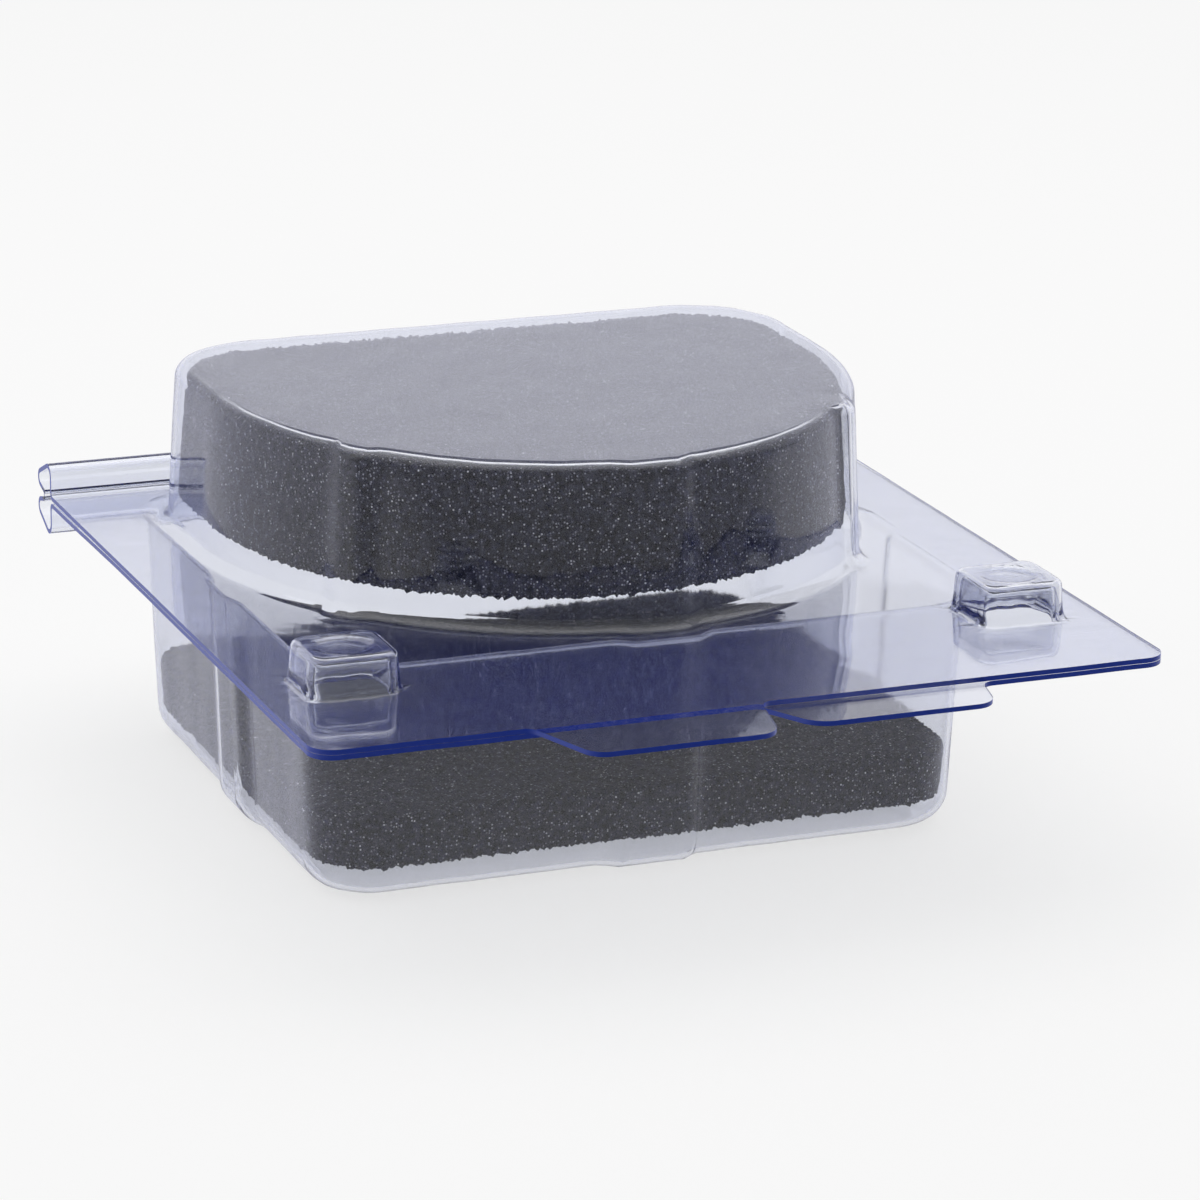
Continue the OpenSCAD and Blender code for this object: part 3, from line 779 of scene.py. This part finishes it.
def foam_material():
    """Charcoal open-cell foam: dark pores between fine cell walls, and bright specks painted into the base
    colour as glint highlights on cut walls.
    """
    material, tree, shader = new_material("charcoal_foam")
    place = tree.nodes.new("ShaderNodeTexCoord")
    cells = node(tree, "ShaderNodeTexVoronoi", Scale=CELL_SCALE)
    painted_glints = node(tree, "ShaderNodeTexVoronoi", Scale=PAINTED_GLINT_SCALE)
    patches = node(tree, "ShaderNodeTexNoise", Scale=PATCH_SCALE, Detail=3.0, Roughness=0.6)
    for texture in (cells, painted_glints, patches):
        tree.links.new(place.outputs["Object"], texture.inputs["Vector"])
    body = ramp(tree, BODY_STOPS)
    tree.links.new(patches.outputs["Fac"], body.inputs["Fac"])
    # Painted highlights: bright specks added to the base colour in place of light caught by cut cell walls.
    painted_glint_dot = ramp(tree, PAINTED_GLINT_STOPS)
    tree.links.new(painted_glints.outputs["Distance"], painted_glint_dot.inputs["Fac"])
    apart = tree.nodes.new("ShaderNodeSeparateColor")
    tree.links.new(painted_glints.outputs["Color"], apart.inputs["Color"])
    painted_glint_share = ramp(tree, PAINTED_GLINT_BRIGHTNESS)
    tree.links.new(apart.outputs["Red"], painted_glint_share.inputs["Fac"])
    painted_glint_colour = tree.nodes.new("ShaderNodeMix")
    painted_glint_colour.data_type, painted_glint_colour.blend_type = "RGBA", "MULTIPLY"
    painted_glint_colour.inputs["Factor"].default_value = 1.0
    tree.links.new(painted_glint_dot.outputs["Color"], painted_glint_colour.inputs["A"])
    tree.links.new(painted_glint_share.outputs["Color"], painted_glint_colour.inputs["B"])
    whole = tree.nodes.new("ShaderNodeMix")
    whole.data_type, whole.blend_type = "RGBA", "ADD"
    whole.inputs["Factor"].default_value = 1.0
    tree.links.new(body.outputs["Color"], whole.inputs["A"])
    tree.links.new(painted_glint_colour.outputs["Result"], whole.inputs["B"])
    tree.links.new(whole.outputs["Result"], shader.inputs["Base Color"])
    shader.inputs["Roughness"].default_value = FOAM_ROUGHNESS
    shader.inputs["Specular IOR Level"].default_value = FOAM_SPECULAR
    bump = node(tree, "ShaderNodeBump", Strength=CELL_STRENGTH, Distance=CELL_DEPTH)
    tree.links.new(cells.outputs["Distance"], bump.inputs["Height"])
    tree.links.new(bump.outputs["Normal"], shader.inputs["Normal"])
    return material


def math_node(tree, operation, first, second):
    """A Math node on two inputs, each a socket or a number."""
    made = tree.nodes.new("ShaderNodeMath")
    made.operation = operation
    for socket, value in zip(made.inputs, (first, second)):
        if isinstance(value, (int, float)):
            socket.default_value = value
        else:
            tree.links.new(value, socket)
    return made.outputs["Value"]


# Share of the floor's own light in what is seen of it, and how that ends at the front in what mirrors it
FLOOR_GLOW, MIRRORED_GLOW = 0.7, 0.75
GLOW_START, GLOW_END = -0.03, -0.15
FLOOR_COLOUR = (0.95, 0.95, 0.95, 1)
# Light of the room low in front of the box, and everywhere else
WORLD_FRONT, WORLD_BACK = 0.06, 0.72
# Where one passes into the other, counted backwards and, by this share, upwards
WORLD_FADE, WORLD_UP_SHARE = (-0.35, 0.4), 0.9


def floor_material():
    """A white floor. What is seen of it is in part light of its own, which ends at the front in mirrors."""
    material, tree, shader = new_material("pale_floor")
    shader.inputs["Base Color"].default_value = FLOOR_COLOUR
    shader.inputs["Roughness"].default_value = 1.0
    shader.inputs["Specular IOR Level"].default_value = 0.0
    rays = tree.nodes.new("ShaderNodeLightPath").outputs
    seen = math_node(tree, "MAXIMUM", rays["Is Camera Ray"], rays["Is Transmission Ray"])
    mirrored = math_node(tree, "SUBTRACT", rays["Is Glossy Ray"], rays["Is Transmission Ray"])
    place = tree.nodes.new("ShaderNodeTexCoord")
    split = tree.nodes.new("ShaderNodeSeparateXYZ")
    tree.links.new(place.outputs["Object"], split.inputs["Vector"])
    to_front = node(tree, "ShaderNodeMapRange", From_Min=GLOW_END, From_Max=GLOW_START, To_Min=WORLD_FRONT,
                    To_Max=MIRRORED_GLOW)
    to_front.interpolation_type = "SMOOTHSTEP"
    tree.links.new(split.outputs["Y"], to_front.inputs["Value"])
    strength = node(tree, "ShaderNodeMapRange", To_Min=1.0)
    tree.links.new(mirrored, strength.inputs["Value"])
    tree.links.new(to_front.outputs["Result"], strength.inputs["To Max"])
    white = node(tree, "ShaderNodeEmission", Color=(1, 1, 1, 1))
    tree.links.new(strength.outputs["Result"], white.inputs["Strength"])
    mixed = tree.nodes.new("ShaderNodeMixShader")
    share = math_node(tree, "MAXIMUM", math_node(tree, "MULTIPLY", seen, FLOOR_GLOW), mirrored)
    tree.links.new(share, mixed.inputs[0])
    tree.links.new(shader.outputs["BSDF"], mixed.inputs[1])
    tree.links.new(white.outputs["Emission"], mixed.inputs[2])
    output = next(n for n in tree.nodes if n.type == "OUTPUT_MATERIAL")
    tree.links.new(mixed.outputs["Shader"], output.inputs["Surface"])
    return material


# Floor, light and camera

# The table: reach to the sides and back, the flat's front edge, just below the picture, and its turn down
TABLE_REACH, TABLE_TOP = 3.0, -0.0002
TABLE_FRONT, TABLE_EDGE_R = -0.125, 0.07


def make_floor():
    """A white table top whose front edge turns down below the picture; the room in front of it is dim."""
    axis_z = TABLE_TOP - TABLE_EDGE_R
    turns = QUARTER * np.arange(13) / 12
    profile = [(TABLE_REACH, TABLE_TOP), (TABLE_REACH / 10, TABLE_TOP)]
    profile += [(TABLE_FRONT - TABLE_EDGE_R * math.sin(t), axis_z + TABLE_EDGE_R * math.cos(t))
                for t in turns]
    points = [(x, y, z) for y, z in profile for x in (-TABLE_REACH, TABLE_REACH)]
    faces = [(2 * k, 2 * k + 1, 2 * k + 3, 2 * k + 2) for k in range(len(profile) - 1)]
    mesh = bpy.data.meshes.new("floor")
    mesh.from_pydata(points, [], faces)
    mesh.polygons.foreach_set("use_smooth", [True] * len(faces))
    mesh.materials.append(floor_material())
    floor = bpy.data.objects.new("floor", mesh)
    bpy.context.scene.collection.objects.link(floor)


def area_light(name, place, aim, size, power):
    """A rectangular lamp at place that points at aim, in metres and watts."""
    data = bpy.data.lights.new(name, "AREA")
    data.shape = "RECTANGLE"
    data.size, data.size_y = size
    data.energy = power
    lamp = bpy.data.objects.new(name, data)
    lamp.location = place
    lamp.rotation_euler = (Vector(aim) - Vector(place)).to_track_quat("-Z", "Y").to_euler()
    bpy.context.scene.collection.objects.link(lamp)


def make_world():
    """A bright room, dim only low in front of the box; white wherever the camera sees it."""
    world = bpy.data.worlds.new("studio")
    bpy.context.scene.world = world
    world.use_nodes = True
    tree = world.node_tree
    background = next(n for n in tree.nodes if n.type == "BACKGROUND")
    place = tree.nodes.new("ShaderNodeTexCoord")
    split = tree.nodes.new("ShaderNodeSeparateXYZ")
    tree.links.new(place.outputs["Generated"], split.inputs["Vector"])
    up = math_node(tree, "MULTIPLY", split.outputs["Z"], WORLD_UP_SHARE)
    back_or_up = math_node(tree, "ADD", up, split.outputs["Y"])
    fade = node(tree, "ShaderNodeMapRange", From_Min=WORLD_FADE[0], From_Max=WORLD_FADE[1])
    fade.interpolation_type = "SMOOTHSTEP"
    tree.links.new(back_or_up, fade.inputs["Value"])
    light = node(tree, "ShaderNodeMapRange", To_Min=WORLD_FRONT, To_Max=WORLD_BACK)
    tree.links.new(fade.outputs["Result"], light.inputs["Value"])
    rays = tree.nodes.new("ShaderNodeLightPath").outputs
    mirrored = math_node(tree, "MULTIPLY", rays["Is Glossy Ray"], fade.outputs["Result"])
    straight = math_node(tree, "MAXIMUM", rays["Is Camera Ray"], rays["Is Transmission Ray"])
    tone = tree.nodes.new("ShaderNodeMix")
    tree.links.new(math_node(tree, "MAXIMUM", mirrored, straight), tone.inputs["Factor"])
    tree.links.new(light.outputs["Result"], tone.inputs["A"])
    tone.inputs["B"].default_value = 1.0
    tree.links.new(tone.outputs["Result"], background.inputs["Color"])


# The camera as it stood for the photograph, seen from the middle of the flanges
CAMERA_AZIMUTH, CAMERA_ELEVATION, CAMERA_ROLL = (math.radians(a) for a in (-21.80, 17.376, 0.846))
CAMERA_DISTANCE = 537.16
CAMERA_SHIFT_RIGHT, CAMERA_SHIFT_UP = 2.702, -3.167
CAMERA_LENS = 153.04
CAMERA_AIM = (0.0, CREASE_Y - 45.0, TRAY_DEPTH)


def make_camera():
    """The camera, turned and shifted as the photograph needs."""
    a, e, r = CAMERA_AZIMUTH, CAMERA_ELEVATION, CAMERA_ROLL
    back = Vector((math.sin(a) * math.cos(e), -math.cos(a) * math.cos(e), math.sin(e)))
    level_right = (-back).cross(Vector((0, 0, 1))).normalized()
    level_up = level_right.cross(-back)
    right = math.cos(r) * level_right + math.sin(r) * level_up
    up = -math.sin(r) * level_right + math.cos(r) * level_up
    place = Vector(CAMERA_AIM) + back * CAMERA_DISTANCE + right * CAMERA_SHIFT_RIGHT + up * CAMERA_SHIFT_UP
    data = bpy.data.cameras.new("camera")
    data.lens = CAMERA_LENS
    data.sensor_width = 36.0
    data.clip_start = 0.01
    camera = bpy.data.objects.new("camera", data)
    turn = Matrix((right, up, back)).transposed().to_4x4()
    camera.matrix_world = Matrix.Translation(place * MM) @ turn
    bpy.context.scene.collection.objects.link(camera)
    bpy.context.scene.camera = camera


# The lamp over the box, in metres and watts
LAMP_PLACE, LAMP_AIM = (0.0, 0.10, 0.60), (0, 0.10, 0.0)
LAMP_SIZE, LAMP_POWER = (1.0, 0.7), 1.7

bpy.context.scene.view_settings.view_transform = "Standard"
make_camera()
make_floor()
make_world()
area_light("top_light", LAMP_PLACE, LAMP_AIM, LAMP_SIZE, LAMP_POWER)

clear = clear_sheet_material()
foam = foam_material()

tray = make_tray(clear)
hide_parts("tray")
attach(tray, "base")

lid = make_lid(clear)
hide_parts("lid")
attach(lid, "cover")

base_pad = make_base_pad(foam)
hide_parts("base_foam_pad")
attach(base_pad, "base")

lid_pad = make_lid_pad(foam)
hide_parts("lid_foam_pad")
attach(lid_pad, "cover")

fold = make_fold(clear)
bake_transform(fold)
